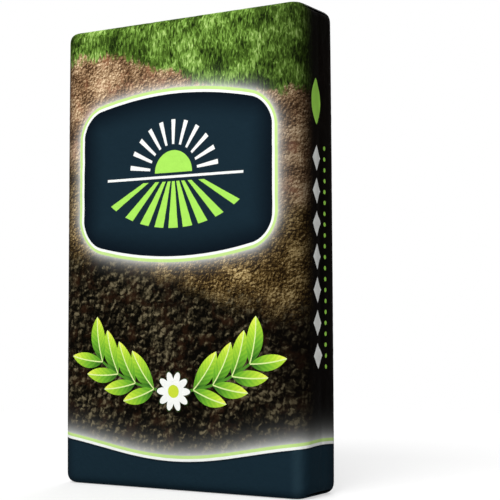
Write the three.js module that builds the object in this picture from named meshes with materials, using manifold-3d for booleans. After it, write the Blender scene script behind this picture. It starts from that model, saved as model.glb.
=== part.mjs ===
// A filled and sealed topsoil bag: one sack of plastic film, packed into an upright block.
// Millimetres, +Z up. The origin is the middle of the base, and the front faces -Y.
import * as THREE from "three";
import { mergeVertices } from "three/addons/utils/BufferGeometryUtils.js";
import Module from "manifold-3d";

// The filled block
const WIDTH = 379; // across the front
const DEPTH = 99; // front to back, at the upright edges
const HEIGHT = 627; // base to the rim of the top
const CORNER_RADIUS = 20.5; // the four upright edges
const END_RADIUS = 11.5; // the edges round the top and the base
const FRONT_CROWN = 5; // how far the soil pushes out the middle of the front and of the back
const SIDE_CROWN = 2.5; // how far it pushes out the middle of each side
const SETTLED_SPREAD = 1; // how far each side leans out at the base, where the soil has settled
const LUMP_HEIGHT = 0.7; // the unevenness of the soil under the film
const LUMP_LENGTH = 130; // the distance from one lump to the next

// The crease down the middle of each side gusset
const CREASE_WIDTH = 14;
const CREASE_DEPTH = 1.4;

// The closed ends: two panels meet at a weld, and its fin is folded flat towards the back
const WELD_RIDGE = 4; // how far the top panels rise to the weld
const FIN_WIDTH = 28;
const FIN_THICKNESS = 1.6; // four layers of film
const FIN_FOLD_RADIUS = 2.2; // the inside of the fold where the top fin turns over
const FIN_CLEARANCE = 0.8; // between the folded fin and the panel under it
const FIN_WAVE = 1.6; // how far the fin's free edge lifts in its waves
const FIN_WAVE_LENGTH = 150;
const FIN_ROOT = 3; // how deep the fin is rooted in the weld
const SEAM_GROOVE_WIDTH = 1.6; // the line that the base's pressed fin leaves
const SEAM_GROOVE_DEPTH = 0.7;

// The pocket at each end of each side, where the gusset tucks in between the end panels
const TUCK_DEPTH = 34;
const TUCK_GAP = 2;
const TUCK_LIP = 5; // from the end of the bag to the pocket

// How finely the film's grid follows the shape
const CORNER_STEPS = 4;
const END_STEPS = 4;
const FRONT_STEPS = 16;
const GUSSET_STEPS = 3; // on each side of the crease
const HEIGHT_STEPS = 28;
const FIN_STEPS = 26;
const FIN_FOLD_STEPS = 6;

const FILM_COLOR = 0x1d2326;

const HALF_WIDTH = WIDTH / 2;
const HALF_DEPTH = DEPTH / 2;
const HALF_HEIGHT = HEIGHT / 2;
const END_FILLET = Math.min(END_RADIUS, CORNER_RADIUS); // an end can't be rounder than its corners
const QUARTER_TURN = Math.PI / 2;

const wasm = await Module();
wasm.setup();

// Evenly spaced values from start to end, without the first one.
function steps(start, end, count) {
  return Array.from({ length: count }, (_, i) => THREE.MathUtils.lerp(start, end, (i + 1) / count));
}

// The places of the grid's lines along each axis: closer together round the edges and the crease.
const X_LINES = [
  -HALF_WIDTH,
  ...steps(-HALF_WIDTH, CORNER_RADIUS - HALF_WIDTH, CORNER_STEPS),
  ...steps(CORNER_RADIUS - HALF_WIDTH, HALF_WIDTH - CORNER_RADIUS, FRONT_STEPS),
  ...steps(HALF_WIDTH - CORNER_RADIUS, HALF_WIDTH, CORNER_STEPS),
];
const CREASE_EDGE = CREASE_WIDTH / 2;
const Y_LINES = [
  -HALF_DEPTH,
  ...steps(-HALF_DEPTH, CORNER_RADIUS - HALF_DEPTH, CORNER_STEPS),
  ...steps(CORNER_RADIUS - HALF_DEPTH, -CREASE_EDGE, GUSSET_STEPS),
  0,
  CREASE_EDGE,
  ...steps(CREASE_EDGE, HALF_DEPTH - CORNER_RADIUS, GUSSET_STEPS),
  ...steps(HALF_DEPTH - CORNER_RADIUS, HALF_DEPTH, CORNER_STEPS),
];
const Z_LINES = [
  0,
  ...steps(0, END_FILLET, END_STEPS),
  ...steps(END_FILLET, HEIGHT - END_FILLET, HEIGHT_STEPS),
  ...steps(HEIGHT - END_FILLET, HEIGHT, END_STEPS),
];

// A closed box whose grid lines lie at the given places, with each of its points then moved by shape.
function shapedBox(xLines, yLines, zLines, shape) {
  const box = new THREE.BoxGeometry(1, 1, 1, xLines.length - 1, yLines.length - 1, zLines.length - 1);
  box.deleteAttribute("normal");
  box.deleteAttribute("uv");
  const merged = mergeVertices(box);
  const position = merged.getAttribute("position");
  const lineAt = (lines, place) => lines[Math.round((place + 0.5) * (lines.length - 1))];
  const point = new THREE.Vector3();
  for (let i = 0; i < position.count; i++) {
    point.set(
      lineAt(xLines, position.getX(i)),
      lineAt(yLines, position.getY(i)),
      lineAt(zLines, position.getZ(i)),
    );
    shape(point);
    position.setXYZ(i, point.x, point.y, point.z);
  }
  return merged;
}

// How the film pulls in round the top and the base: the inset of the section, and its true height.
function endRounding(z) {
  const above = Math.max(z - (HEIGHT - END_FILLET), 0);
  const below = Math.max(END_FILLET - z, 0);
  const angle = ((above + below) / END_FILLET) * QUARTER_TURN;
  const rise = END_FILLET * Math.sin(angle);
  let height = z;
  if (above > 0) height = HEIGHT - END_FILLET + rise;
  if (below > 0) height = END_FILLET - rise;
  return { inset: END_FILLET * (1 - Math.cos(angle)), height };
}

// A crown that is full in the middle of a face and falls to nothing at its edges, at -1 and 1.
function crown(place) {
  return 1 - place ** 4;
}

// The uneven surface of packed soil, from about -1 to 1.
function lump(x, y, z) {
  const turn = (2 * Math.PI) / LUMP_LENGTH;
  const broad = Math.sin(turn * (x + 0.3 * z)) * Math.cos(turn * (0.8 * z - 0.5 * y));
  const small = Math.sin(turn * (1.7 * z - 1.1 * x + y) + 1);
  return 0.65 * broad + 0.35 * small;
}

// Moves one point of the plain box to its place on the filled bag.
function onBag(point) {
  const { x, y, z } = point;
  const { inset, height } = endRounding(z);
  const core = new THREE.Vector2(
    THREE.MathUtils.clamp(x, CORNER_RADIUS - HALF_WIDTH, HALF_WIDTH - CORNER_RADIUS),
    THREE.MathUtils.clamp(y, CORNER_RADIUS - HALF_DEPTH, HALF_DEPTH - CORNER_RADIUS),
  );
  const outward = new THREE.Vector2(x, y).sub(core);
  const rim = Math.max(Math.abs(outward.x), Math.abs(outward.y)) / CORNER_RADIUS;
  outward.normalize();
  const section = core.clone().addScaledVector(outward, (CORNER_RADIUS - inset) * rim);

  const onWall = z > 0 && z < HEIGHT;
  const upright = crown((height - HALF_HEIGHT) / HALF_HEIGHT);
  const lumps = onWall ? LUMP_HEIGHT * upright * lump(x, y, z) : 0;
  const bulge = new THREE.Vector2(
    outward.x * (SIDE_CROWN * crown(section.y / HALF_DEPTH) * upright + lumps),
    outward.y * (FRONT_CROWN * crown(section.x / HALF_WIDTH) * upright + lumps),
  );
  const onCrease = Math.max(1 - Math.abs(y) / CREASE_EDGE, 0);
  bulge.x -= onWall ? outward.x * CREASE_DEPTH * onCrease * upright : 0;
  section.add(bulge);
  section.x *= 1 + (SETTLED_SPREAD / HALF_WIDTH) * (1 - (2 * height) / HEIGHT);

  const ridge = z === HEIGHT ? WELD_RIDGE * (1 - Math.abs(section.y) / HALF_DEPTH) ** 2 : 0;
  return point.set(section.x, section.y, height + ridge);
}

// A prism whose outline lies in the YZ plane, as (y, z) points, running along X and centred on it.
function prismAlongX(outline, length, count) {
  const prism = new THREE.ExtrudeGeometry(new THREE.Shape(outline), {
    depth: length,
    steps: count,
    bevelEnabled: false,
  });
  prism.translate(0, 0, -length / 2);
  const [alongX, alongY, alongZ] = [
    new THREE.Vector3(1, 0, 0),
    new THREE.Vector3(0, 1, 0),
    new THREE.Vector3(0, 0, 1),
  ];
  return prism.applyMatrix4(new THREE.Matrix4().makeBasis(alongY, alongZ, alongX));
}

// The top weld's fin: rooted in the ridge, turned over and laid along the back panel.
function foldedFin() {
  const crest = HEIGHT + WELD_RIDGE;
  const middle = FIN_FOLD_RADIUS + FIN_THICKNESS / 2;
  const half = FIN_THICKNESS / 2;
  const slope = Math.atan2(WELD_RIDGE, HALF_DEPTH);
  const foldHeight = crest + FIN_CLEARANCE - FIN_FOLD_RADIUS + middle;
  const centre = new THREE.Vector2(middle - half, foldHeight - middle);
  const folded = QUARTER_TURN + slope;
  const outer = [];
  const inner = [];
  for (let i = 0; i <= FIN_FOLD_STEPS; i++) {
    const angle = Math.PI - (folded * i) / FIN_FOLD_STEPS;
    const way = new THREE.Vector2(Math.cos(angle), Math.sin(angle));
    outer.push(centre.clone().addScaledVector(way, middle + half));
    inner.push(centre.clone().addScaledVector(way, middle - half));
  }
  const along = new THREE.Vector2(Math.cos(slope), -Math.sin(slope)).multiplyScalar(FIN_WIDTH);
  const outline = [
    new THREE.Vector2(outer[0].x, crest - FIN_ROOT),
    ...outer,
    outer.at(-1).clone().add(along),
    inner.at(-1).clone().add(along),
    ...inner.toReversed(),
    new THREE.Vector2(inner[0].x, crest - FIN_ROOT),
  ];
  const fin = prismAlongX(outline.toReversed(), WIDTH - 2 * END_FILLET, FIN_STEPS);
  const position = fin.getAttribute("position");
  for (let i = 0; i < position.count; i++) {
    const free = THREE.MathUtils.clamp(position.getY(i) / FIN_WIDTH, 0, 1) ** 2;
    const wave = 0.5 - 0.5 * Math.cos((2 * Math.PI * position.getX(i)) / FIN_WAVE_LENGTH);
    position.setZ(i, position.getZ(i) + FIN_WAVE * free * wave);
  }
  return fin;
}

// The pocket where a gusset tucks in: a flat wedge, widest at the side face and coming to a point.
function tuckPocket(side, height) {
  const mouth = HALF_DEPTH - END_FILLET;
  const reach = HALF_WIDTH + SIDE_CROWN + SETTLED_SPREAD;
  const outline = [
    new THREE.Vector2(side * reach, -side * mouth),
    new THREE.Vector2(side * reach, side * mouth),
    new THREE.Vector2(side * (HALF_WIDTH - TUCK_DEPTH), 0),
  ];
  const pocket = new THREE.ExtrudeGeometry(new THREE.Shape(outline), {
    depth: TUCK_GAP,
    bevelEnabled: false,
  });
  return pocket.translate(0, 0, height - TUCK_GAP / 2);
}

// The shallow line that the free edge of the base's pressed fin leaves in the base.
function seamGroove(y) {
  const outline = [
    new THREE.Vector2(y - SEAM_GROOVE_WIDTH / 2, -SEAM_GROOVE_DEPTH),
    new THREE.Vector2(y + SEAM_GROOVE_WIDTH / 2, -SEAM_GROOVE_DEPTH),
    new THREE.Vector2(y, SEAM_GROOVE_DEPTH),
  ];
  return prismAlongX(outline, WIDTH - 2 * CORNER_RADIUS, 1);
}

// A closed geometry as a solid that can be joined and cut.
function solidOf(geometry) {
  const bare = new THREE.BufferGeometry();
  bare.setAttribute("position", geometry.getAttribute("position"));
  bare.setIndex(geometry.getIndex());
  const merged = mergeVertices(bare);
  return new wasm.Manifold(
    new wasm.Mesh({
      numProp: 3,
      vertProperties: merged.getAttribute("position").array,
      triVerts: new Uint32Array(merged.getIndex().array),
    }),
  );
}

// A joined or cut solid as a geometry again.
function geometryOf(solid) {
  const { vertProperties, triVerts } = solid.getMesh();
  const geometry = new THREE.BufferGeometry();
  geometry.setAttribute("position", new THREE.BufferAttribute(vertProperties, 3));
  geometry.setIndex(new THREE.BufferAttribute(triVerts, 1));
  geometry.computeVertexNormals();
  return geometry;
}

function sealedBag() {
  let bag = solidOf(shapedBox(X_LINES, Y_LINES, Z_LINES, onBag));
  for (const side of [-1, 1]) {
    for (const height of [TUCK_LIP, HEIGHT - TUCK_LIP]) {
      bag = bag.subtract(solidOf(tuckPocket(side, height)));
    }
  }
  for (const y of [0, FIN_WIDTH]) {
    bag = bag.subtract(solidOf(seamGroove(y)));
  }
  return geometryOf(bag.add(solidOf(foldedFin())));
}

const film = new THREE.MeshStandardMaterial({ color: FILM_COLOR, roughness: 0.6, metalness: 0 });
const bag = new THREE.Mesh(sealedBag(), film);
bag.name = "bag";

const part = new THREE.Group();
part.add(bag);
export default part;
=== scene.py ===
"""Looks of the topsoil bag: a printed film sack, packed full and standing on its base.

Metres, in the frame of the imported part: +Z up, the front faces -Y, the origin is the middle of the base.
"""

import math

import bmesh
import bpy
import numpy as np
from mathutils import Matrix, Vector, noise
from mathutils.bvhtree import BVHTree


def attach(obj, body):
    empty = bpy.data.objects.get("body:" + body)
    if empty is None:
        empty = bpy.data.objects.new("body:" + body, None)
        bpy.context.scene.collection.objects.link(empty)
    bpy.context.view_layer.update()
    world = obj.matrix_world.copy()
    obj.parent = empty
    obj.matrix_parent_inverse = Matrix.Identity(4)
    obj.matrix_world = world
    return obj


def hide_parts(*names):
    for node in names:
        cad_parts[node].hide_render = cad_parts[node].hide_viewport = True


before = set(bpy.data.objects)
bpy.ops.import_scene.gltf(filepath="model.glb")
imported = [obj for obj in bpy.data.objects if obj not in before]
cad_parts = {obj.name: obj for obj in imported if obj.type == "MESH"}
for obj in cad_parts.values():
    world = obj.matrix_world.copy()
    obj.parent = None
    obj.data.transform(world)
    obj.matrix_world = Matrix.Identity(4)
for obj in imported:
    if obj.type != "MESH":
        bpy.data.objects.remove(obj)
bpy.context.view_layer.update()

# The filled block, as in the part
WIDTH = 0.379
DEPTH = 0.099
HEIGHT = 0.627
CORNER_RADIUS = 0.0205
END_RADIUS = 0.0115
CREASE_WIDTH = 0.014
CREASE_DEPTH = 0.0014
WELD_RIDGE = 0.004

# The film before it swells: its crowned faces, the lean of its sides out to the base, and its spare height
FRONT_CROWN = 0.005
SIDE_CROWN = 0.0012
SETTLED_SPREAD = 0.0006
SPARE_HEIGHT = 0.0014

# How many steps the film's grid has on each stretch of the block
CORNER_STEPS = 4
FRONT_STEPS = 56
SIDE_STEPS = 10
END_STEPS = 3
WALL_STEPS = 100

# How firmly the soil holds the film on the walls, edges and top, and how far the edges and ends hold it
WALL_HOLD = 0.3
EDGE_HOLD = 0.4
TOP_HOLD = 0.6
EDGE_REACH = 0.014
END_REACH = 0.16
SWELLING_FRAMES = 20

# The lumps of soil that press through the film, each with its length and height
SOIL_LUMPS = ((0.055, 0.0007), (0.021, 0.0003))
# How far from the upright edges, along the film, the lumps reach their full height
LUMP_FADE = 0.03

# The pockets of the tucked gussets, whose gap closes by a share towards the front and back
TUCK_DEPTH = 0.034
TUCK_GAP = 0.0032
TUCK_CLOSING = 0.85
TUCK_LIP = 0.005
TUCK_STEPS = 14
TUCK_OVERCUT = 0.02

# Points of a cut mesh that lie this close are one, and edges that turn further than this are sharp
SAME_POINT = 0.000001
SHARP_TURN = math.radians(50)

# The fins of the welds, and the rows and columns of their grids
FIN_WIDTH = 0.028
FIN_THICKNESS = 0.0014
FIN_REST = 0.0003
FIN_WAVE = 0.0022
FIN_WAVE_LENGTH = 0.15
FIN_WAVE_START = 0.6
BASE_FIN_INSET = 0.004
TOP_FIN_GRID = (15, 121)
BASE_FIN_GRID = (9, 61)
# The ribs of the sealing bar across a fin: where they rise and where they fade
RIB_PITCH = 0.0022
RIBS_START = (0.004, 0.005)
RIBS_END = (0.018, 0.017)

HALF_WIDTH = WIDTH / 2
HALF_DEPTH = DEPTH / 2
HALF_HEIGHT = HEIGHT / 2
FRONT_FLAT = HALF_WIDTH - CORNER_RADIUS
SIDE_FLAT = HALF_DEPTH - CORNER_RADIUS
CORNER_ARC = CORNER_RADIUS * math.pi / 2
END_ARC = END_RADIUS * math.pi / 2
RIM = HALF_DEPTH - END_RADIUS
ABOVE_BAG = HEIGHT + 0.1
# How far in the middle of a rounded corner lies, in width and depth together
EDGE_INSET = (2 - math.sqrt(2)) * CORNER_RADIUS

# Places on the unrolled print: round the bag from the middle of the front, and up the film
FRONT_EDGE = FRONT_FLAT + CORNER_ARC / 2
SIDE_MIDDLE = FRONT_FLAT + CORNER_ARC + SIDE_FLAT
SIDE_END = SIDE_MIDDLE + SIDE_FLAT
HALF_SIDE = SIDE_MIDDLE - FRONT_EDGE
BACK_MIDDLE = 2 * SIDE_MIDDLE
GIRTH = 2 * BACK_MIDDLE
FILM_TOP = HEIGHT - END_RADIUS + END_ARC
FILM_BASE = END_RADIUS - END_ARC
# A dark place of the print, for the inside of the pockets
TUCK_PRINT = (SIDE_MIDDLE, HEIGHT * 0.95)

# The square map of the film: the front and sides take the wide share of it, the back the rest
MAP_FRONT_SHARE = 0.76
MAP_GAP = 0.01

# The ground on the print: the slope of its layers, and the levels where each one starts and is full
LAYER_SLOPE = 0.2
BROWN_SOIL_LEVELS = (0.255, 0.305)
LIGHT_SOIL_LEVELS = (0.385, 0.420)
TURF_LEVELS = (0.545, 0.556)
# How the edges of the layers wave, drift and fray: how fine each is to the metre, and its height
WAVE_TURNS = 17.0
WAVE_HEIGHT = 0.010
DRIFT_SCALE = 14
DRIFT_HEIGHT = 0.05
FRAY_SCALE = 150
FRAY_STRETCH = 0.4
FRAY_HEIGHT = 0.028
# How far each layer's edge frays, as a share of that height
BROWN_SOIL_FRAY = 1.0
LIGHT_SOIL_FRAY = 0.7
TURF_FRAY = 1.2
# The coarse and the fine soil: grains to the metre, and how strongly they are lit
COARSE_GRAINS = 85
COARSE_RELIEF = 0.9
FINE_GRAINS = 200
FINE_RELIEF = 0.35
# Crumbled soil, in grains: the stirring of their outlines, the step towards the light, the grit and the clods
STIR_FINENESS = 1.5
STIR_REACH = 0.6
LIGHT_ACROSS = -0.16
LIGHT_UP = 0.22
GRIT_FINENESS = 1.3
CLOD_FINENESS = 0.15
# The gaps between the grains, from where they darken to where they are darkest
GRAIN_GAPS = (0.30, 0.85)
# How much the grit, the clods and the gaps count in the soil's light, and what it starts from
GRIT_WEIGHT = 1.35
CLOD_WEIGHT = 1.1
GAP_WEIGHT = 0.35
SOIL_LIGHT = 0.55
# The rust in the soil: its patches to the metre, where they start and are full, and how strong they are
RUST_SCALE = 38
DARK_RUST_RISE = (-0.02, 0.22)
DARK_RUST_STRENGTH = 0.4
LIGHT_RUST_RISE = (0.0, 0.22)
LIGHT_RUST_STRENGTH = 0.5
# The two ways that the blades of grass lean: how fine they are, how far they are stretched, and their lean
GRASS_LEANS = ((330, 0.32, 0.3), (280, 0.35, -0.45))
# How much the blades and the lighter patches count in the turf's light, and what it starts from
BLADE_WEIGHT = 1.6
PATCH_SCALE = 26
PATCH_WEIGHT = 0.9
TURF_LIGHT = 0.36

# The darkening towards each side: painted shade on the right half of each panel and round the corners, and
# the black print of the sides; its strength, and where it rises and ends
PANEL_SHADE = 0.6
PANEL_SHADE_RISE = (0.080, 0.190)
SIDE_SHADE = 0.997
SIDE_SHADE_RISE = (-2.0 * HALF_SIDE, -0.3 * HALF_SIDE)
SIDE_SHADE_END = HALF_SIDE + 0.007
SIDE_SHADE_FADE = 0.026

# The labels: the middle's place up the film; then half the width, half the height, the bow and the corners
FRONT_LABEL_PLACE = 0.415
FRONT_LABEL_FORM = (0.150, 0.086, 0.022, 0.030)
BACK_LABEL_PLACE = 0.350
BACK_LABEL_FORM = (0.130, 0.150, 0.014, 0.026)
# The emblem on each label: its place up the film, and how many times smaller it is than drawn
FRONT_EMBLEM_PLACE = 0.418
FRONT_EMBLEM_SHRINK = 0.85
BACK_EMBLEM_PLACE = 0.425
BACK_EMBLEM_SHRINK = 1.4

# The edging of the navy panels, out from their outline, and the glow round it
WHITE_EDGING = 0.0036
LIME_EDGING = 0.0078
GLOW_START = 0.006
GLOW_STRENGTH = 0.72
LABEL_GLOW = 0.0055
LABEL_SHADE = 0.040
BAND_GLOW = 0.0075
BAND_SHADE = 0.004

# The emblem: a sun with rays, the horizon, and furrows that run out from a point behind it
SUN_RADIUS = 0.025
RAY_COUNT = 22
RAY_HALF_TURN = 0.045
RAY_START = 0.032
RAY_END = 0.060
RAY_FOOT = 0.001
HORIZON_DROP = 0.0048
HORIZON_HALF_HEIGHT = 0.0014
HORIZON_HALF_LENGTH = 0.092
FURROWS_POINT = 0.012
FURROW_HALF_PITCH = 0.13
FURROW_WIDENING = 0.085
FURROWS_TOP = 0.0100
FURROWS_REACH = 0.0745
FURROWS_STRETCH = 1.5
FURROWS_HALF_TURN = 1.17

# The garland: the bend and lowest point of its stem, its pairs of leaves, and their reach behind their feet
STEM_BEND = 0.200
STEM_LOWEST = 0.130
STEM_HALF_WIDTH = 0.0017
FIRST_LEAF = 0.031
LEAF_PITCH = 0.031
LEAF_PAIRS = 4
LEAF_BACK = 0.008
# The leaves of a pair: the turn from the stem, the length and half the width
LEAF_PAIR = ((0.62, 0.066, 0.0122), (-0.62, 0.051, 0.0100))
MIDRIB_HALF_WIDTH = 0.0008
VEIN_SLANT = 1.3
VEIN_TURNS = 760.0
# How much the veins, the lit half and the tip count in a leaf's light, and how far below 0 it starts
VEIN_WEIGHT = 0.05
LIT_HALF_WEIGHT = 0.22
TIP_WEIGHT = 0.9
LEAF_DARKNESS = 0.08
# The daisy
PETAL_COUNT = 10
PETAL_FOOT = 0.016
PETAL_LENGTH = 0.010
PETAL_OUTLINE = 0.0018
DAISY_HEART = 0.0085

# The chain on each side: lozenges with dots beside them, and a leaf-shaped tab above them
CHAIN_MIDDLE = 0.303
CHAIN_PITCH = 0.042
CHAIN_LOZENGES = 7
LOZENGE_PLACE = -0.009
LOZENGE_HALF_HEIGHT = 0.0165
LOZENGE_SLANT = 1.5
DOT_PLACE = 0.012
DOT_RADIUS = 0.0028
DOTS_TO_LOZENGE = 3
TAB_FOOT = 0.472
TAB_LENGTH = 0.060
TAB_HALF_WIDTH = 0.0125

# The navy band at the base, with its waving upper edge, a painted highlight at its right edge and painted
# shade at its left edge
BAND_TOP = 0.052
BAND_SWING = 0.013
HIGHLIGHT_PLACE = FRONT_EDGE - 0.004
HIGHLIGHT_REACH = 0.012
DARK_PLACE = -(FRONT_EDGE + 0.006)
DARK_REACH = 0.030
DARK_STRENGTH = 0.75

# The finish of the film and of its welds: the sheen, its smears, and the film's fine grain and wrinkles
FILM_ROUGHNESS = 0.6
WELD_ROUGHNESS = 0.42
ROUGHNESS_SPREAD = 0.2
FILM_SPECULAR = 0.004
WELD_SPECULAR = 0.06
SMEAR_SCALE = 9
WELD_CLOUD_SCALE = 40
GRAIN_SCALE = 110
GRAIN_HEIGHT = 0.4
WRINKLE_SCALE = 22
WRINKLE_STRETCH = 0.5
WRINKLE_TURN = 0.6
WRINKLE_DEPTH = 0.9

# The studio: the light that its walls give, where white walls give 1, and its floor
WALL_LIGHT = 0.18
FLOOR_LEVEL = -0.0002
FLOOR_HALF_SIZE = 2
FLOOR_SHADE = 0.42
FLOOR_LIFT = 0.56
# The floor is clear beyond the first distance, and full within the second
FLOOR_FADE = (1.7, 0.9)
# The lamps: azimuth and elevation in degrees, distance, width and height, and power
LAMPS = {
    "key": (9, 40, 2.8, (2.0, 2.0), 98),
    "fill": (-135, 15, 2.6, (1.2, 1.8), 12),
    "back": (-165, 35, 2.8, (1.6, 1.6), 50),
}

# The camera, fitted to the photograph in block heights
CAMERA_PLACE = Vector((1.51730, -2.30699, 0.34786)) * HEIGHT
CAMERA_AZIMUTH = math.radians(30.908)
CAMERA_PITCH = math.radians(3.3158)
CAMERA_ROLL = math.radians(-0.1753)
CAMERA_LENS = 92.07
CAMERA_SENSOR = 36
CAMERA_REACH = 50


def ink(code):
    """The linear colour of a hexadecimal sRGB colour."""
    values = [int(code[i : i + 2], 16) / 255 for i in (0, 2, 4)]
    return tuple(v / 12.92 if v <= 0.04045 else ((v + 0.055) / 1.055) ** 2.4 for v in values)


NAVY = ink("182933")
DEEP_NAVY = ink("0a1119")
# A lighter navy, for the painted highlight along the band's right edge
HIGHLIGHT_NAVY = ink("22353f")
LIME = ink("a8e45c")
PALE_LIME = ink("c2e28c")
WHITE = ink("f4f6f2")
SIDE_BLACK = ink("060403")
LIGHT_RUST = ink("9a6448")
DARK_RUST = ink("3a2416")
STEM_GREEN = ink("4f8a2a")
MIDRIB_GREEN = ink("dff0a0")
SHADOW_GREEN = ink("27401a")
DAISY_YELLOW = ink("c9dc3a")

# Colours along a value, each with its place from 0 to 1
TURF_COLOURS = ((0.12, ink("17240b")), (0.42, ink("476321")), (0.64, ink("759b40")), (0.95, ink("bcd882")))
DARK_COLOURS = ((0.10, ink("070604")), (0.42, ink("1d1911")), (0.70, ink("3e3828")), (1.0, ink("6c634c")))
BROWN_COLOURS = ((0.22, ink("1d1206")), (0.44, ink("4b391c")), (0.62, ink("7d653a")), (0.90, ink("c8b07c")))
LIGHT_COLOURS = ((0.18, ink("3d2a1a")), (0.42, ink("7b5e42")), (0.62, ink("ac8c69")), (0.92, ink("eed4ae")))
LEAF_COLOURS = ((0.0, ink("2f6420")), (0.35, ink("6fb130")), (0.75, ink("b4dc3a")), (1.0, ink("e9f25a")))
WELD_COLOURS = ((0.3, ink("121f27")), (0.7, ink("20343f")))


class Wire:
    """A number in a shader's node tree, to be written about with plain arithmetic."""

    def __init__(self, tree, socket):
        self.tree = tree
        self.socket = socket

    def through(self, operation, *others, clamp=False):
        node = self.tree.nodes.new("ShaderNodeMath")
        node.operation = operation
        node.use_clamp = clamp
        for place, value in enumerate((self, *others)):
            if isinstance(value, Wire):
                self.tree.links.new(value.socket, node.inputs[place])
            else:
                node.inputs[place].default_value = value
        return Wire(self.tree, node.outputs[0])

    def __add__(self, other):
        return self.through("ADD", other)

    def __sub__(self, other):
        return self.through("SUBTRACT", other)

    def __mul__(self, other):
        return self.through("MULTIPLY", other)

    def __truediv__(self, other):
        return self.through("DIVIDE", other)

    def __neg__(self):
        return self * -1.0

    def __abs__(self):
        return self.through("ABSOLUTE")

    def lowest(self, other):
        return self.through("MINIMUM", other)

    def highest(self, other):
        return self.through("MAXIMUM", other)

    def sine(self):
        return self.through("SINE")

    def turn(self, ahead):
        """The angle of a point from the way ahead."""
        return self.through("ARCTAN2", ahead)

    def wrapped(self, low, high):
        return self.through("WRAP", high, low)

    def ramp(self, start, end):
        """A mask that rises from 0 at start to 1 at end, with soft ends."""
        node = self.tree.nodes.new("ShaderNodeMapRange")
        node.interpolation_type = "SMOOTHSTEP"
        self.tree.links.new(self.socket, node.inputs["Value"])
        node.inputs["From Min"].default_value = start
        node.inputs["From Max"].default_value = end
        return Wire(self.tree, node.outputs["Result"])

    def inside(self, soft=0.0005):
        """The mask of what lies inside an outline, from the signed distance to it."""
        return self.through("MULTIPLY_ADD", -1 / soft, 0.5, clamp=True)


def length(across, up):
    """The distance of a point from the origin of its own coordinates."""
    return (across * across + up * up).through("SQRT")


class Print:
    """A node tree with the tools for printing on the film."""

    def __init__(self, tree):
        self.tree = tree
        coordinates = tree.nodes.new("ShaderNodeUVMap")
        coordinates.uv_map = "print"
        self.place = coordinates.outputs["UV"]
        parts = tree.nodes.new("ShaderNodeSeparateXYZ")
        tree.links.new(self.place, parts.inputs[0])
        self.across = Wire(tree, parts.outputs["X"])
        self.up = Wire(tree, parts.outputs["Y"])
        self.from_panel = self.across.wrapped(-SIDE_MIDDLE, SIDE_MIDDLE)
        self.from_side = (self.across - SIDE_MIDDLE).wrapped(-SIDE_MIDDLE, SIDE_MIDDLE)

    def stretched(self, across, up, turn=0.0):
        """The print's coordinates, turned and then stretched, for a texture with a grain."""
        node = self.tree.nodes.new("ShaderNodeMapping")
        self.tree.links.new(self.place, node.inputs["Vector"])
        node.inputs["Scale"].default_value = (across, up, 1)
        node.inputs["Rotation"].default_value = (0, 0, turn)
        return node.outputs["Vector"]

    def shifted(self, place, across, up):
        """Coordinates moved a little way, for what lies beside a point."""
        node = self.tree.nodes.new("ShaderNodeVectorMath")
        self.tree.links.new(place, node.inputs[0])
        node.inputs[1].default_value = (across, up, 0)
        return node.outputs["Vector"]

    def stirred(self, scale, reach):
        """The print's coordinates, stirred by noise, for grains of uneven outline."""
        stir = self.tree.nodes.new("ShaderNodeTexNoise")
        stir.noise_dimensions = "2D"
        self.tree.links.new(self.place, stir.inputs["Vector"])
        stir.inputs["Scale"].default_value = scale
        node = self.tree.nodes.new("ShaderNodeVectorMath")
        node.operation = "MULTIPLY_ADD"
        self.tree.links.new(stir.outputs["Color"], node.inputs[0])
        node.inputs[1].default_value = (reach, reach, 0)
        self.tree.links.new(self.place, node.inputs[2])
        return node.outputs["Vector"]

    def noise(self, scale, detail=3.0, rough=0.55, distortion=0.0, place=None):
        """Cloudy noise round zero, from about -0.3 to 0.3."""
        node = self.tree.nodes.new("ShaderNodeTexNoise")
        node.noise_dimensions = "2D"
        self.tree.links.new(place or self.place, node.inputs["Vector"])
        node.inputs["Scale"].default_value = scale
        node.inputs["Detail"].default_value = detail
        node.inputs["Roughness"].default_value = rough
        node.inputs["Distortion"].default_value = distortion
        return Wire(self.tree, node.outputs[0]) - 0.5

    def grains(self, scale, place):
        """Rounded grains with smaller ones on them: 0 at a grain's middle, and most in the gaps."""
        node = self.tree.nodes.new("ShaderNodeTexVoronoi")
        node.voronoi_dimensions = "2D"
        self.tree.links.new(place, node.inputs["Vector"])
        node.inputs["Scale"].default_value = scale
        node.inputs["Detail"].default_value = 1.5
        node.inputs["Roughness"].default_value = 0.45
        node.inputs["Lacunarity"].default_value = 2.3
        return Wire(self.tree, node.outputs["Distance"])

    def colours(self, value, stops):
        """Colours along a value, each stop a place from 0 to 1 and a colour."""
        node = self.tree.nodes.new("ShaderNodeValToRGB")
        self.tree.links.new(value.socket, node.inputs["Fac"])
        elements = node.color_ramp.elements
        while len(elements) < len(stops):
            elements.new(0.5)
        for element, (place, colour) in zip(elements, stops):
            element.position = place
            element.color = (*colour, 1)
        return node.outputs["Color"]

    def laid(self, below, colour, mask):
        """A colour laid over what is below it where the mask is 1."""
        node = self.tree.nodes.new("ShaderNodeMix")
        node.data_type = "RGBA"
        inputs = {socket.identifier: socket for socket in node.inputs}
        self.tree.links.new(mask.socket, inputs["Factor_Float"])
        for socket, value in ((inputs["A_Color"], below), (inputs["B_Color"], colour)):
            if isinstance(value, tuple):
                socket.default_value = (*value, 1)
            else:
                self.tree.links.new(value, socket)
        outputs = {socket.identifier: socket for socket in node.outputs}
        return outputs["Result_Color"]

    def raised(self, height, strength, distance):
        """The surface's normal where a height raises the film."""
        node = self.tree.nodes.new("ShaderNodeBump")
        node.inputs["Strength"].default_value = strength
        node.inputs["Distance"].default_value = distance
        self.tree.links.new(height.socket, node.inputs["Height"])
        return node.outputs["Normal"]


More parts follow.
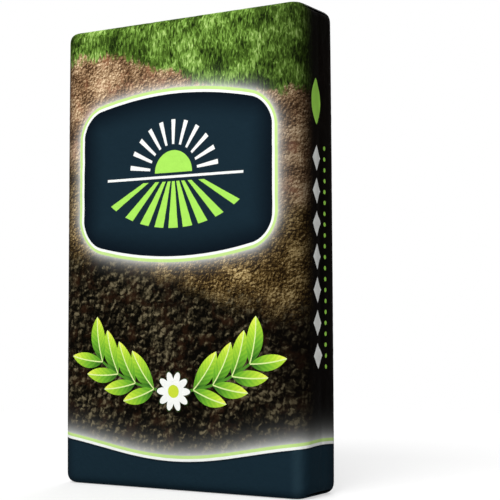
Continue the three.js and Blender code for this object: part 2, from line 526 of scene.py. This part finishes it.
def crumbled(sheet, scale, relief):
    """Crumbled soil lit from the upper left, from about 0 in its gaps to 1 on its lit faces."""
    place = sheet.stirred(scale * STIR_FINENESS, STIR_REACH / scale)
    beside = sheet.shifted(place, LIGHT_ACROSS / scale, LIGHT_UP / scale)
    grains = sheet.grains(scale, place)
    lit = sheet.grains(scale, beside) - grains
    here = sheet.noise(scale * GRIT_FINENESS, detail=5, rough=0.7, place=place)
    grit = here - sheet.noise(scale * GRIT_FINENESS, detail=5, rough=0.7, place=beside)
    clods = sheet.noise(scale * CLOD_FINENESS, detail=3, rough=0.6)
    gaps = grains.ramp(*GRAIN_GAPS)
    light = lit * relief + grit * GRIT_WEIGHT + clods * CLOD_WEIGHT
    return light - gaps * (relief * GAP_WEIGHT) + SOIL_LIGHT


def turf(sheet):
    """A field of mown grass, its blades leaning two ways."""
    blades = []
    for fine, stretch, lean in GRASS_LEANS:
        place = sheet.stretched(1, stretch, lean)
        blades.append(sheet.noise(fine, detail=2, rough=0.6, distortion=0.5, place=place))
    one, other = blades
    patches = sheet.noise(PATCH_SCALE, detail=2, rough=0.5)
    light = one.highest(other) * BLADE_WEIGHT + patches * PATCH_WEIGHT + TURF_LIGHT
    return sheet.colours(light, TURF_COLOURS)


def ground(sheet):
    """The sloping layers of a garden's ground, from the turf at the top to the dark soil below."""
    wave = (sheet.from_panel * WAVE_TURNS).sine() * WAVE_HEIGHT
    sway = wave + sheet.noise(DRIFT_SCALE, detail=2, rough=0.5) * DRIFT_HEIGHT
    fray = sheet.noise(FRAY_SCALE, detail=3, rough=0.7, place=sheet.stretched(1, FRAY_STRETCH)) * FRAY_HEIGHT
    level = sheet.up + sheet.from_panel * LAYER_SLOPE + sway
    coarse = crumbled(sheet, COARSE_GRAINS, COARSE_RELIEF)
    fine = crumbled(sheet, FINE_GRAINS, FINE_RELIEF)
    rust = sheet.noise(RUST_SCALE, detail=4, rough=0.65)
    dark_rust = rust.ramp(*DARK_RUST_RISE) * DARK_RUST_STRENGTH
    light_rust = rust.ramp(*LIGHT_RUST_RISE) * LIGHT_RUST_STRENGTH
    dark = sheet.laid(sheet.colours(coarse, DARK_COLOURS), DARK_RUST, dark_rust)
    brown = sheet.colours(fine, BROWN_COLOURS)
    light = sheet.laid(sheet.colours(fine, LIGHT_COLOURS), LIGHT_RUST, light_rust)
    field = sheet.laid(dark, brown, (level + fray * BROWN_SOIL_FRAY).ramp(*BROWN_SOIL_LEVELS))
    field = sheet.laid(field, light, (level + fray * LIGHT_SOIL_FRAY).ramp(*LIGHT_SOIL_LEVELS))
    return sheet.laid(field, turf(sheet), (level + fray * TURF_FRAY).ramp(*TURF_LEVELS))


def shaded(sheet, field):
    """Painted shade deepening to the right of each panel and round its corners, and the sides printed nearly
    black.
    """
    on_panel = sheet.from_panel.ramp(*PANEL_SHADE_RISE) * PANEL_SHADE
    before_end = (sheet.from_side - SIDE_SHADE_END).inside(SIDE_SHADE_FADE)
    on_side = sheet.from_side.ramp(*SIDE_SHADE_RISE) * before_end
    return sheet.laid(field, SIDE_BLACK, on_panel.highest(on_side * SIDE_SHADE))


def label(across, up, half_wide, half_high, bow, corner):
    """The signed distance to a label with rounded corners and bowed top and bottom edges."""
    share = across / half_wide
    side = abs(across) - (half_wide - corner)
    end = abs(up) + share * share * bow - (half_high + bow - corner)
    outside = length(side.highest(0.0), end.highest(0.0))
    return outside + side.highest(end).lowest(0.0) - corner


def emblem(sheet, field, across, up, shrink):
    """A rising sun over a ploughed field."""
    across = across * shrink
    up = up * shrink
    radius = length(across, up)
    below = -up
    sun = (radius - SUN_RADIUS).highest(below)
    field = sheet.laid(field, LIME, sun.inside())
    half_pitch = math.pi / RAY_COUNT
    ray = (abs(across.turn(up).wrapped(-half_pitch, half_pitch)) - RAY_HALF_TURN) * radius
    rays = ray.highest(radius - RAY_END).highest(-radius + RAY_START).highest(below - RAY_FOOT)
    field = sheet.laid(field, WHITE, rays.inside())
    horizon = (abs(up + HORIZON_DROP) - HORIZON_HALF_HEIGHT).highest(abs(across) - HORIZON_HALF_LENGTH)
    field = sheet.laid(field, WHITE, horizon.inside())
    deep = below + FURROWS_POINT
    lane = across.turn(deep)
    to_lane = abs(lane.wrapped(-FURROW_HALF_PITCH, FURROW_HALF_PITCH)) * length(across, deep)
    furrow = to_lane - deep * FURROW_WIDENING
    edge = length(across / FURROWS_STRETCH, deep) - FURROWS_REACH
    furrow = furrow.highest(up + FURROWS_TOP).highest(edge).highest(abs(lane) - FURROWS_HALF_TURN)
    return sheet.laid(field, LIME, furrow.inside())


def leaf(along, off, long, half_wide):
    """The signed distance to a pointed leaf that grows from the origin."""
    radius = (long * long / 4 + half_wide * half_wide) / (2 * half_wide)
    shift = radius - half_wide
    upper = length(along - long / 2, off + shift)
    lower = length(along - long / 2, off - shift)
    return upper.highest(lower) - radius


def leaf_colour(sheet, along, off, long):
    """A leaf's bright blade, one half lighter than the other, with its midrib and its slanting veins."""
    veins = ((along - abs(off) * VEIN_SLANT) * VEIN_TURNS).sine() * VEIN_WEIGHT
    lit = off.ramp(-MIDRIB_HALF_WIDTH / 2, MIDRIB_HALF_WIDTH / 2) * LIT_HALF_WEIGHT
    light = along / long * TIP_WEIGHT + veins + lit - LEAF_DARKNESS
    blade = sheet.colours(light, LEAF_COLOURS)
    return sheet.laid(blade, MIDRIB_GREEN, (abs(off) - MIDRIB_HALF_WIDTH).inside())


def daisy(sheet, field, across, up):
    """A daisy with a dark outline, from its middle."""
    radius = length(across, up)
    petals = abs((across.turn(up) * (PETAL_COUNT / 2)).sine()) * PETAL_LENGTH + PETAL_FOOT
    field = sheet.laid(field, SHADOW_GREEN, (radius - petals - PETAL_OUTLINE).inside())
    field = sheet.laid(field, WHITE, (radius - petals).inside())
    return sheet.laid(field, DAISY_YELLOW, (radius - DAISY_HEART).inside())


def garland(sheet, field):
    """A swag of leaves on a round stem, the same to the left and right, with a daisy in its middle."""
    across = abs(sheet.across)
    drop = -sheet.up + (STEM_LOWEST + STEM_BEND)
    along = across.turn(drop) * STEM_BEND
    rise = -length(across, drop) + STEM_BEND
    last_leaf = FIRST_LEAF + (LEAF_PAIRS - 1) * LEAF_PITCH
    stem = (abs(rise) - STEM_HALF_WIDTH).highest(along - last_leaf)
    field = sheet.laid(field, STEM_GREEN, stem.inside())
    middle = FIRST_LEAF + (LEAF_PAIRS - 1) / 2 * LEAF_PITCH
    for phase in (0, 1):
        start = FIRST_LEAF + phase * LEAF_PITCH
        near = (along - start + LEAF_BACK).wrapped(0.0, 2 * LEAF_PITCH) - LEAF_BACK
        foot = along - near
        shown = (abs(foot - middle) - LEAF_PAIRS / 2 * LEAF_PITCH).inside()
        for angle, long, half_wide in LEAF_PAIR:
            reach = near * math.cos(angle) + rise * math.sin(angle)
            off = rise * math.cos(angle) - near * math.sin(angle)
            mask = leaf(reach, off, long, half_wide).inside() * shown
            field = sheet.laid(field, leaf_colour(sheet, reach, off, long), mask)
    return daisy(sheet, field, across, drop - STEM_BEND)


def framed(sheet, field, distance, glow, shade):
    """A navy panel inside an outline, darker along it, edged in white and lime, with a glow round it."""
    halo = (distance - GLOW_START).highest(0.0) * (-1 / glow)
    field = sheet.laid(field, WHITE, halo.through("EXPONENT") * GLOW_STRENGTH)
    field = sheet.laid(field, PALE_LIME, (distance - LIME_EDGING).inside())
    field = sheet.laid(field, WHITE, (distance - WHITE_EDGING).inside())
    panel = sheet.laid(DEEP_NAVY, NAVY, (-distance).ramp(-shade / 4, shade))
    return sheet.laid(field, panel, distance.inside())


def labelled(sheet, field):
    """The labels on the front and the back, each with its emblem."""
    across, up = sheet.across, sheet.up
    from_back = across - BACK_MIDDLE
    front = label(across, up - FRONT_LABEL_PLACE, *FRONT_LABEL_FORM)
    field = framed(sheet, field, front, LABEL_GLOW, LABEL_SHADE)
    field = emblem(sheet, field, across, up - FRONT_EMBLEM_PLACE, FRONT_EMBLEM_SHRINK)
    back = label(from_back, up - BACK_LABEL_PLACE, *BACK_LABEL_FORM)
    field = framed(sheet, field, back, LABEL_GLOW, LABEL_SHADE)
    return emblem(sheet, field, from_back, up - BACK_EMBLEM_PLACE, BACK_EMBLEM_SHRINK)


def side_chain(sheet, field):
    """The upright chain of lozenges and dots on each side, with the tab above it."""
    height = sheet.up - CHAIN_MIDDLE
    ends = abs(height) - CHAIN_LOZENGES / 2 * CHAIN_PITCH
    step = height.wrapped(-CHAIN_PITCH / 2, CHAIN_PITCH / 2)
    from_chain = sheet.from_side - LOZENGE_PLACE
    lozenge = abs(from_chain) * LOZENGE_SLANT + abs(step) - LOZENGE_HALF_HEIGHT
    field = sheet.laid(field, WHITE, lozenge.highest(ends).inside())
    half_pitch = CHAIN_PITCH / (2 * DOTS_TO_LOZENGE)
    dots = length(sheet.from_side - DOT_PLACE, height.wrapped(-half_pitch, half_pitch)) - DOT_RADIUS
    field = sheet.laid(field, LIME, dots.highest(ends).inside())
    tab = leaf(sheet.up - TAB_FOOT, from_chain, TAB_LENGTH, TAB_HALF_WIDTH)
    return sheet.laid(field, LIME, tab.inside())


def banded(sheet, field):
    """The navy band round the base, with a painted highlight at the right edge of each panel and painted
    shade at the left.
    """
    wave = (sheet.across * (2 * math.pi / BACK_MIDDLE)).through("COSINE")
    band = sheet.up - (wave * -BAND_SWING + BAND_TOP)
    field = framed(sheet, field, band, BAND_GLOW, BAND_SHADE)
    # A painted highlight along the right edge of each panel's band
    painted_highlight = abs(sheet.from_panel - HIGHLIGHT_PLACE).ramp(HIGHLIGHT_REACH, 0.0) * band.inside()
    field = sheet.laid(field, HIGHLIGHT_NAVY, painted_highlight)
    # Painted shade along the left edge of each panel's band
    dark = abs(sheet.from_panel - DARK_PLACE).ramp(DARK_REACH, 0.0) * band.inside()
    return sheet.laid(field, DEEP_NAVY, dark * DARK_STRENGTH)


def new_material(name):
    """A new material with its node tree and its shader."""
    material = bpy.data.materials.new(name)
    material.use_nodes = True
    return material, material.node_tree, material.node_tree.nodes["Principled BSDF"]


def printed_film():
    """The matt film of the sack with its print, a generic garden design, and its fine grain and wrinkles."""
    material, tree, shader = new_material("printed_film")
    sheet = Print(tree)
    field = ground(sheet)
    for layer in (shaded, garland, labelled, side_chain, banded):
        field = layer(sheet, field)
    tree.links.new(field, shader.inputs["Base Color"])
    smear = sheet.noise(SMEAR_SCALE, detail=4, rough=0.6)
    tree.links.new((smear * ROUGHNESS_SPREAD + FILM_ROUGHNESS).socket, shader.inputs["Roughness"])
    shader.inputs["Specular IOR Level"].default_value = FILM_SPECULAR
    grain = sheet.noise(GRAIN_SCALE, detail=3, rough=0.6) * GRAIN_HEIGHT
    place = sheet.stretched(1.0, WRINKLE_STRETCH, WRINKLE_TURN)
    folds = sheet.noise(WRINKLE_SCALE, detail=4, rough=0.6, distortion=1.2, place=place)
    wrinkles = abs(folds) * -WRINKLE_DEPTH
    normal = sheet.raised(grain + wrinkles, strength=0.35, distance=0.004)
    tree.links.new(normal, shader.inputs["Normal"])
    return material


def welded_film():
    """Bare dark film with the fine ribs that the sealing bar presses into it."""
    material, tree, shader = new_material("welded_film")
    sheet = Print(tree)
    cloud = sheet.noise(WELD_CLOUD_SCALE, detail=3, rough=0.6)
    tree.links.new(sheet.colours(cloud + 0.5, WELD_COLOURS), shader.inputs["Base Color"])
    tree.links.new((cloud * ROUGHNESS_SPREAD + WELD_ROUGHNESS).socket, shader.inputs["Roughness"])
    shader.inputs["Specular IOR Level"].default_value = WELD_SPECULAR
    ribs = (sheet.up * (2 * math.pi / RIB_PITCH)).sine()
    ribs = ribs * sheet.up.ramp(*RIBS_START) * sheet.up.ramp(*RIBS_END)
    normal = sheet.raised(ribs, strength=0.6, distance=0.0006)
    tree.links.new(normal, shader.inputs["Normal"])
    return material


def crown(place):
    """Full in the middle of a face, and nothing at its edges, at -1 and 1."""
    return 1 - place**4


def end_rounding(z):
    """How the film pulls in round the ends: the section's inset, its true height, its way up the film."""
    above = max(z - (HEIGHT - END_RADIUS), 0)
    below = max(END_RADIUS - z, 0)
    angle = (above + below) / END_RADIUS * math.pi / 2
    rise = END_RADIUS * math.sin(angle)
    inset = END_RADIUS * (1 - math.cos(angle))
    if above:
        return inset, HEIGHT - END_RADIUS + rise, HEIGHT - END_RADIUS + END_RADIUS * angle
    if below:
        return inset, END_RADIUS - rise, END_RADIUS - END_RADIUS * angle
    return inset, z, z


def on_bag(x, y, z):
    """Where a point of the plain box lies on the filled bag."""
    inset, height, _ = end_rounding(z)
    core = Vector((min(max(x, -FRONT_FLAT), FRONT_FLAT), min(max(y, -SIDE_FLAT), SIDE_FLAT)))
    outward = Vector((x, y)) - core
    rim = max(abs(outward.x), abs(outward.y)) / CORNER_RADIUS
    outward.normalize()
    section = core + outward * (CORNER_RADIUS - inset) * rim
    upright = crown((height - HALF_HEIGHT) / HALF_HEIGHT)
    if 0 < z < HEIGHT:
        on_crease = max(1 - abs(y) / (CREASE_WIDTH / 2), 0)
        side_crown = SIDE_CROWN * crown(section.y / HALF_DEPTH) - CREASE_DEPTH * on_crease
        front_crown = FRONT_CROWN * crown(section.x / HALF_WIDTH)
        section.x += outward.x * side_crown * upright
        section.y += outward.y * front_crown * upright
    section.x *= 1 + SETTLED_SPREAD / HALF_WIDTH * (1 - 2 * height / HEIGHT)
    height *= 1 + SPARE_HEIGHT / HEIGHT
    if z == HEIGHT:
        height += WELD_RIDGE * (1 - abs(section.y) / HALF_DEPTH) ** 2 * crown(section.x / HALF_WIDTH)
    if z == 0 and abs(section.x) < FRONT_FLAT and abs(section.y - FIN_WIDTH / 2) < FIN_WIDTH / 2:
        height += FIN_THICKNESS
    return Vector((section.x, section.y, height))


def girth_place(x, y):
    """The distance round the bag from the middle of the front, of a point on the plain box's walls."""
    if abs(y) <= SIDE_FLAT:
        return math.copysign(SIDE_MIDDLE + y, x)
    beyond = Vector((max(abs(x) - FRONT_FLAT, 0), abs(y) - SIDE_FLAT))
    turn = math.atan2(beyond.x, beyond.y) / (math.pi / 2) * CORNER_ARC
    from_panel = math.copysign(min(abs(x), FRONT_FLAT) + turn, x)
    return from_panel if y < 0 else BACK_MIDDLE - from_panel


def map_place(across, up, on_back):
    """Where a point of the print lies on the square map of the film."""
    along = across + SIDE_END
    front = 2 * SIDE_END
    if on_back:
        back_start = MAP_FRONT_SHARE + MAP_GAP
        place = back_start + (along - front) / (GIRTH - front) * (1 - back_start)
    else:
        place = along / front * MAP_FRONT_SHARE
    lowest = FILM_BASE - RIM
    return place, (up - lowest) / (FILM_TOP + RIM - lowest)


def mapped(mesh, name, places):
    """Gives a mesh a map, with a place for each corner of each face."""
    layer = mesh.uv_layers.new(name=name)
    layer.data.foreach_set("uv", np.array(places, np.float32).ravel())


def placed(name, data):
    """A new object in the scene."""
    thing = bpy.data.objects.new(name, data)
    bpy.context.scene.collection.objects.link(thing)
    return thing


def grid_lines(start, *stretches):
    """The places of grid lines along stretches that follow one another, each with its end and its steps."""
    places = [start]
    for end, steps in stretches:
        places += np.linspace(places[-1], end, steps + 1)[1:].tolist()
    return places


def film_mesh():
    """The sack's film as a closed grid, with the print's coordinates in metres."""
    x_stretches = ((-FRONT_FLAT, CORNER_STEPS), (FRONT_FLAT, FRONT_STEPS), (HALF_WIDTH, CORNER_STEPS))
    y_stretches = ((-SIDE_FLAT, CORNER_STEPS), (SIDE_FLAT, SIDE_STEPS), (HALF_DEPTH, CORNER_STEPS))
    z_stretches = ((END_RADIUS, END_STEPS), (HEIGHT - END_RADIUS, WALL_STEPS), (HEIGHT, END_STEPS))
    x_lines = grid_lines(-HALF_WIDTH, *x_stretches)
    y_lines = grid_lines(-HALF_DEPTH, *y_stretches)
    z_lines = grid_lines(0.0, *z_stretches)
    last = (len(x_lines) - 1, len(y_lines) - 1, len(z_lines) - 1)
    verts = []
    index = {}

    def corner(i, j, k):
        if (i, j, k) not in index:
            index[i, j, k] = len(verts)
            verts.append(on_bag(x_lines[i], y_lines[j], z_lines[k]))
        return index[i, j, k]

    def wall_print(i, j, k):
        return girth_place(x_lines[i], y_lines[j]), end_rounding(z_lines[k])[2]

    def end_print(i, j, k, front):
        point = on_bag(x_lines[i], y_lines[j], z_lines[k])
        inward = RIM + point.y if front else RIM - point.y
        height = FILM_TOP + inward if k else FILM_BASE - inward
        return (point.x if front else BACK_MIDDLE - point.x), height

    faces = []
    prints = []
    maps = []

    def add(corners, place, *which):
        faces.append([corner(*c) for c in corners])
        spots = [place(*c, *which) for c in corners]
        highest = max(across for across, _ in spots)
        for across, up in spots:
            if highest - across > BACK_MIDDLE:
                across += GIRTH
            prints.append((across, up))
            maps.append(map_place(across, up, highest > SIDE_END + SAME_POINT))

    for k in range(last[2]):
        for i in range(last[0]):
            add([(i, 0, k), (i + 1, 0, k), (i + 1, 0, k + 1), (i, 0, k + 1)], wall_print)
            j = last[1]
            add([(i + 1, j, k), (i, j, k), (i, j, k + 1), (i + 1, j, k + 1)], wall_print)
        for j in range(last[1]):
            add([(0, j + 1, k), (0, j, k), (0, j, k + 1), (0, j + 1, k + 1)], wall_print)
            i = last[0]
            add([(i, j, k), (i, j + 1, k), (i, j + 1, k + 1), (i, j, k + 1)], wall_print)
    for i in range(last[0]):
        for j in range(last[1]):
            front = y_lines[j] + y_lines[j + 1] < 0
            k = last[2]
            add([(i, j, k), (i + 1, j, k), (i + 1, j + 1, k), (i, j + 1, k)], end_print, front)
            add([(i, j + 1, 0), (i + 1, j + 1, 0), (i + 1, j, 0), (i, j, 0)], end_print, front)

    mesh = bpy.data.meshes.new("film_sack")
    mesh.from_pydata(verts, [], faces)
    mapped(mesh, "print", prints)
    mapped(mesh, "OFBake", maps)
    mesh.shade_smooth()
    return mesh


def from_edge(point):
    """How far a point of the film lies from the nearest upright edge of the bag, along the film."""
    return max(HALF_WIDTH - abs(point.x) + HALF_DEPTH - abs(point.y) - EDGE_INSET, 0)


def hold(point):
    """How firmly the soil holds a point of the film, from 0 to 1."""
    near_top = max(1 - (HEIGHT - point.z) / END_REACH, 0)
    near_base = max(1 - point.z / END_REACH, 0)
    near_edge = max(1 - from_edge(point) / EDGE_REACH, 0)
    firmness = WALL_HOLD + (TOP_HOLD - WALL_HOLD) * near_top**2 + (1 - WALL_HOLD) * near_base**2
    return min(firmness + EDGE_HOLD * near_edge, 1)


def swollen(thing):
    """Lets the soil's push swell the film, as cloth that is a little too large for its block."""
    scene = bpy.context.scene
    held = thing.vertex_groups.new(name="held")
    for vertex in thing.data.vertices:
        held.add([vertex.index], hold(vertex.co), "REPLACE")
    cloth = thing.modifiers.new("swelling", "CLOTH")
    settings = cloth.settings
    settings.quality = 6
    settings.mass = 0.15
    settings.tension_stiffness = 40
    settings.compression_stiffness = 40
    settings.shear_stiffness = 15
    settings.bending_stiffness = 0.1
    settings.air_damping = 2
    settings.use_pressure = True
    settings.uniform_pressure_force = 1.0
    settings.shrink_min = -0.005
    settings.vertex_group_mass = held.name
    settings.effector_weights.gravity = 0
    cloth.collision_settings.use_collision = False
    cloth.point_cache.frame_start = 1
    cloth.point_cache.frame_end = SWELLING_FRAMES
    for number in range(SWELLING_FRAMES):
        scene.frame_set(number + 1)
    moved = thing.evaluated_get(bpy.context.evaluated_depsgraph_get()).data
    points = np.empty(len(moved.vertices) * 3)
    moved.vertices.foreach_get("co", points)
    thing.modifiers.remove(cloth)
    scene.frame_set(1)
    thing.vertex_groups.clear()
    points[2::3] = np.maximum(points[2::3], 0)
    thing.data.vertices.foreach_set("co", points)
    thing.data.update()


def lumpy(thing):
    """Presses the uneven soil through the film of the walls, less and less towards their ends and edges."""
    points = []
    for vertex in thing.data.vertices:
        upright = max(crown((vertex.co.z - HALF_HEIGHT) / HALF_HEIGHT), 0)
        free = min(from_edge(vertex.co) / LUMP_FADE, 1)
        rise = sum(height * noise.noise(vertex.co / long) for long, height in SOIL_LUMPS)
        points.extend(vertex.co + vertex.normal * (rise * upright * free))
    thing.data.vertices.foreach_set("co", points)
    thing.data.update()


def applied(thing):
    """Turns a piece's modifiers into plain mesh."""
    finished = bpy.data.meshes.new_from_object(thing.evaluated_get(bpy.context.evaluated_depsgraph_get()))
    plain = thing.data
    thing.modifiers.clear()
    thing.data = finished
    bpy.data.meshes.remove(plain)


def tuck_cutter(side, height):
    """The pocket of a tucked gusset: open widest in the middle of the side, and running in to a point."""
    verts = []
    faces = []
    outer = side * (HALF_WIDTH + TUCK_OVERCUT)
    for stop in np.linspace(-1, 1, TUCK_STEPS + 1):
        gap = TUCK_GAP / 2 * (1 - TUCK_CLOSING * stop * stop)
        inner = side * (HALF_WIDTH - TUCK_DEPTH * (1 - abs(stop)))
        y = RIM * stop
        verts += [(inner, y, height - gap), (outer, y, height - gap)]
        verts += [(outer, y, height + gap), (inner, y, height + gap)]
    for n in range(TUCK_STEPS):
        for a in range(4):
            b = (a + 1) % 4
            faces.append((4 * n + a, 4 * n + b, 4 * n + 4 + b, 4 * n + 4 + a))
    last = 4 * TUCK_STEPS
    faces += [(3, 2, 1, 0), (last, last + 1, last + 2, last + 3)]
    if side > 0:
        faces = [face[::-1] for face in faces]
    mesh = bpy.data.meshes.new("tuck")
    mesh.from_pydata(verts, [], faces)
    mapped(mesh, "print", [TUCK_PRINT] * len(mesh.loops))
    mapped(mesh, "OFBake", [map_place(*TUCK_PRINT, False)] * len(mesh.loops))
    return mesh


def cleaned(thing):
    """Joins points that coincide, and drops faces with no area and points that only split an edge."""
    mesh = bmesh.new()
    mesh.from_mesh(thing.data)
    bmesh.ops.remove_doubles(mesh, verts=mesh.verts, dist=SAME_POINT)
    bmesh.ops.dissolve_degenerate(mesh, edges=mesh.edges, dist=SAME_POINT)
    splitting = [vert for vert in mesh.verts if len(vert.link_edges) == 2]
    bmesh.ops.dissolve_verts(mesh, verts=splitting)
    mesh.to_mesh(thing.data)
    mesh.free()


def tucked(thing):
    """Cuts the pockets of the tucked gussets into the ends of both sides."""
    cutters = []
    for side in (-1, 1):
        for height in (TUCK_LIP, HEIGHT - TUCK_LIP):
            cutter = placed("tuck", tuck_cutter(side, height))
            cut = thing.modifiers.new("tuck", "BOOLEAN")
            cut.operation = "DIFFERENCE"
            cut.solver = "EXACT"
            cut.object = cutter
            cutters.append(cutter)
    applied(thing)
    for cutter in cutters:
        mesh = cutter.data
        bpy.data.objects.remove(cutter)
        bpy.data.meshes.remove(mesh)
    cleaned(thing)


def film_sack():
    """The printed film, swollen by the soil in it."""
    sack = placed("film_sack", film_mesh())
    sack.data.materials.append(printed_film())
    swollen(sack)
    fine = sack.modifiers.new("fine", "SUBSURF")
    fine.levels = 1
    fine.render_levels = 1
    applied(sack)
    lumpy(sack)
    tucked(sack)
    sack.data.set_sharp_from_angle(angle=SHARP_TURN)
    return sack


def fin_strip(name, rows, material):
    """A strip of welded film from the lines that it follows, each a list of points from end to end."""
    count = len(rows[0])
    verts = [point for row in rows for point in row]
    faces = []
    for r in range(len(rows) - 1):
        for c in range(count - 1):
            faces.append((r * count + c, r * count + c + 1, (r + 1) * count + c + 1, (r + 1) * count + c))
    mesh = bpy.data.meshes.new(name)
    mesh.from_pydata(verts, [], faces)
    step = FIN_WIDTH / (len(rows) - 1)
    mapped(mesh, "print", [(verts[i][0], i // count * step) for face in faces for i in face])
    mesh.shade_smooth()
    mesh.materials.append(material)
    thing = placed(name, mesh)
    skin = thing.modifiers.new("film", "SOLIDIFY")
    skin.thickness = FIN_THICKNESS
    skin.offset = 1
    applied(thing)
    return thing


def top_fin(sack, material):
    """The top weld's fin, turned over and lying in shallow waves on the back panel."""
    surface = BVHTree.FromObject(sack, bpy.context.evaluated_depsgraph_get())
    down = Vector((0, 0, -1))
    row_count, column_count = TOP_FIN_GRID
    rows = []
    for along in np.linspace(0, 1, row_count):
        row = []
        for x in np.linspace(-FRONT_FLAT, FRONT_FLAT, column_count):
            y = FIN_WIDTH * along
            panel = surface.ray_cast(Vector((x, y, ABOVE_BAG)), down)[0]
            wave = 0.5 - 0.5 * math.cos(2 * math.pi * x / FIN_WAVE_LENGTH + FIN_WAVE_START)
            lift = FIN_WAVE * along * along * wave * crown(x / FRONT_FLAT)
            row.append((x, y, panel.z + FIN_REST + lift))
        rows.append(row)
    return fin_strip("top_fin", rows, material)


def base_fin(material):
    """The base weld's fin, pressed flat under the bag."""
    half_long = FRONT_FLAT - BASE_FIN_INSET
    row_count, column_count = BASE_FIN_GRID
    columns = np.linspace(-half_long, half_long, column_count)
    rows = [[(x, FIN_WIDTH * along, 0.0) for x in columns] for along in np.linspace(0, 1, row_count)]
    return fin_strip("base_fin", rows, material)


def background_rays(tree):
    """1 for the rays that show the background itself, straight, mirrored or through glass."""
    path = tree.nodes.new("ShaderNodeLightPath")
    seen = Wire(tree, path.outputs["Is Camera Ray"])
    mirrored = Wire(tree, path.outputs["Is Glossy Ray"])
    through = Wire(tree, path.outputs["Is Transmission Ray"])
    return seen.highest(mirrored).highest(through)


def pale_floor():
    """A white studio floor that keeps the bag's shadow and runs out into the white behind it."""
    material, tree, shader = new_material("pale_floor")
    shader.inputs["Base Color"].default_value = (FLOOR_SHADE, FLOOR_SHADE, FLOOR_SHADE, 1)
    shader.inputs["Roughness"].default_value = 0.9
    shader.inputs["Specular IOR Level"].default_value = 0.0
    shader.inputs["Emission Color"].default_value = (1, 1, 1, 1)
    lift = background_rays(tree) * FLOOR_LIFT
    tree.links.new(lift.socket, shader.inputs["Emission Strength"])
    place = tree.nodes.new("ShaderNodeTexCoord")
    parts = tree.nodes.new("ShaderNodeSeparateXYZ")
    tree.links.new(place.outputs["Object"], parts.inputs[0])
    away = length(Wire(tree, parts.outputs["X"]), Wire(tree, parts.outputs["Y"]))
    tree.links.new(away.ramp(*FLOOR_FADE).socket, shader.inputs["Alpha"])
    return material


def studio_floor():
    """The floor that the bag stands on."""
    mesh = bpy.data.meshes.new("floor")
    signs = ((-1, -1), (1, -1), (1, 1), (-1, 1))
    corners = [(x * FLOOR_HALF_SIZE, y * FLOOR_HALF_SIZE, FLOOR_LEVEL) for x, y in signs]
    mesh.from_pydata(corners, [], [(0, 1, 2, 3)])
    mesh.materials.append(pale_floor())
    return placed("floor", mesh)


def lamp(name, azimuth, elevation, distance, size, power):
    """A soft rectangular studio lamp that faces the middle of the bag. Azimuth 0 is straight in front."""
    turn, rise = math.radians(azimuth), math.radians(elevation)
    flat = Vector((math.sin(turn), -math.cos(turn), 0)) * math.cos(rise)
    way = flat + Vector((0, 0, math.sin(rise)))
    data = bpy.data.lights.new(name, "AREA")
    data.shape = "RECTANGLE"
    data.size, data.size_y = size
    data.energy = power
    thing = placed(name, data)
    thing.location = Vector((0, 0, HALF_HEIGHT)) + way * distance
    thing.rotation_euler = (-way).to_track_quat("-Z", "Y").to_euler()


def studio_world():
    """Grey studio walls that give a soft light, and white where they are seen."""
    world = bpy.data.worlds.new("studio")
    world.use_nodes = True
    tree = world.node_tree
    background = tree.nodes["Background"]
    background.inputs["Color"].default_value = (1, 1, 1, 1)
    strength = background_rays(tree) * (1 - WALL_LIGHT) + WALL_LIGHT
    tree.links.new(strength.socket, background.inputs["Strength"])
    return world


def photo_camera():
    """The camera at the photograph's viewpoint."""
    data = bpy.data.cameras.new("camera")
    data.lens = CAMERA_LENS
    data.sensor_width = CAMERA_SENSOR
    data.clip_end = CAMERA_REACH
    level = Vector((-math.sin(CAMERA_AZIMUTH), math.cos(CAMERA_AZIMUTH), 0))
    rise = Vector((0, 0, 1))
    right = Vector((math.cos(CAMERA_AZIMUTH), math.sin(CAMERA_AZIMUTH), 0))
    forward = level * math.cos(CAMERA_PITCH) + rise * math.sin(CAMERA_PITCH)
    upward = rise * math.cos(CAMERA_PITCH) - level * math.sin(CAMERA_PITCH)
    rolled_right = right * math.cos(CAMERA_ROLL) + upward * math.sin(CAMERA_ROLL)
    rolled_up = upward * math.cos(CAMERA_ROLL) - right * math.sin(CAMERA_ROLL)
    turn = Matrix((rolled_right, rolled_up, -forward)).transposed()
    camera = placed("camera", data)
    camera.matrix_world = Matrix.Translation(CAMERA_PLACE) @ turn.to_4x4()
    return camera


sack = film_sack()
weld = welded_film()
for piece in (sack, top_fin(sack, weld), base_fin(weld)):
    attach(piece, "root")
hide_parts("bag")

floor = studio_floor()
for name, settings in LAMPS.items():
    lamp(name, *settings)
bpy.context.scene.world = studio_world()
bpy.context.scene.camera = photo_camera()
bpy.context.scene.view_settings.view_transform = "Standard"
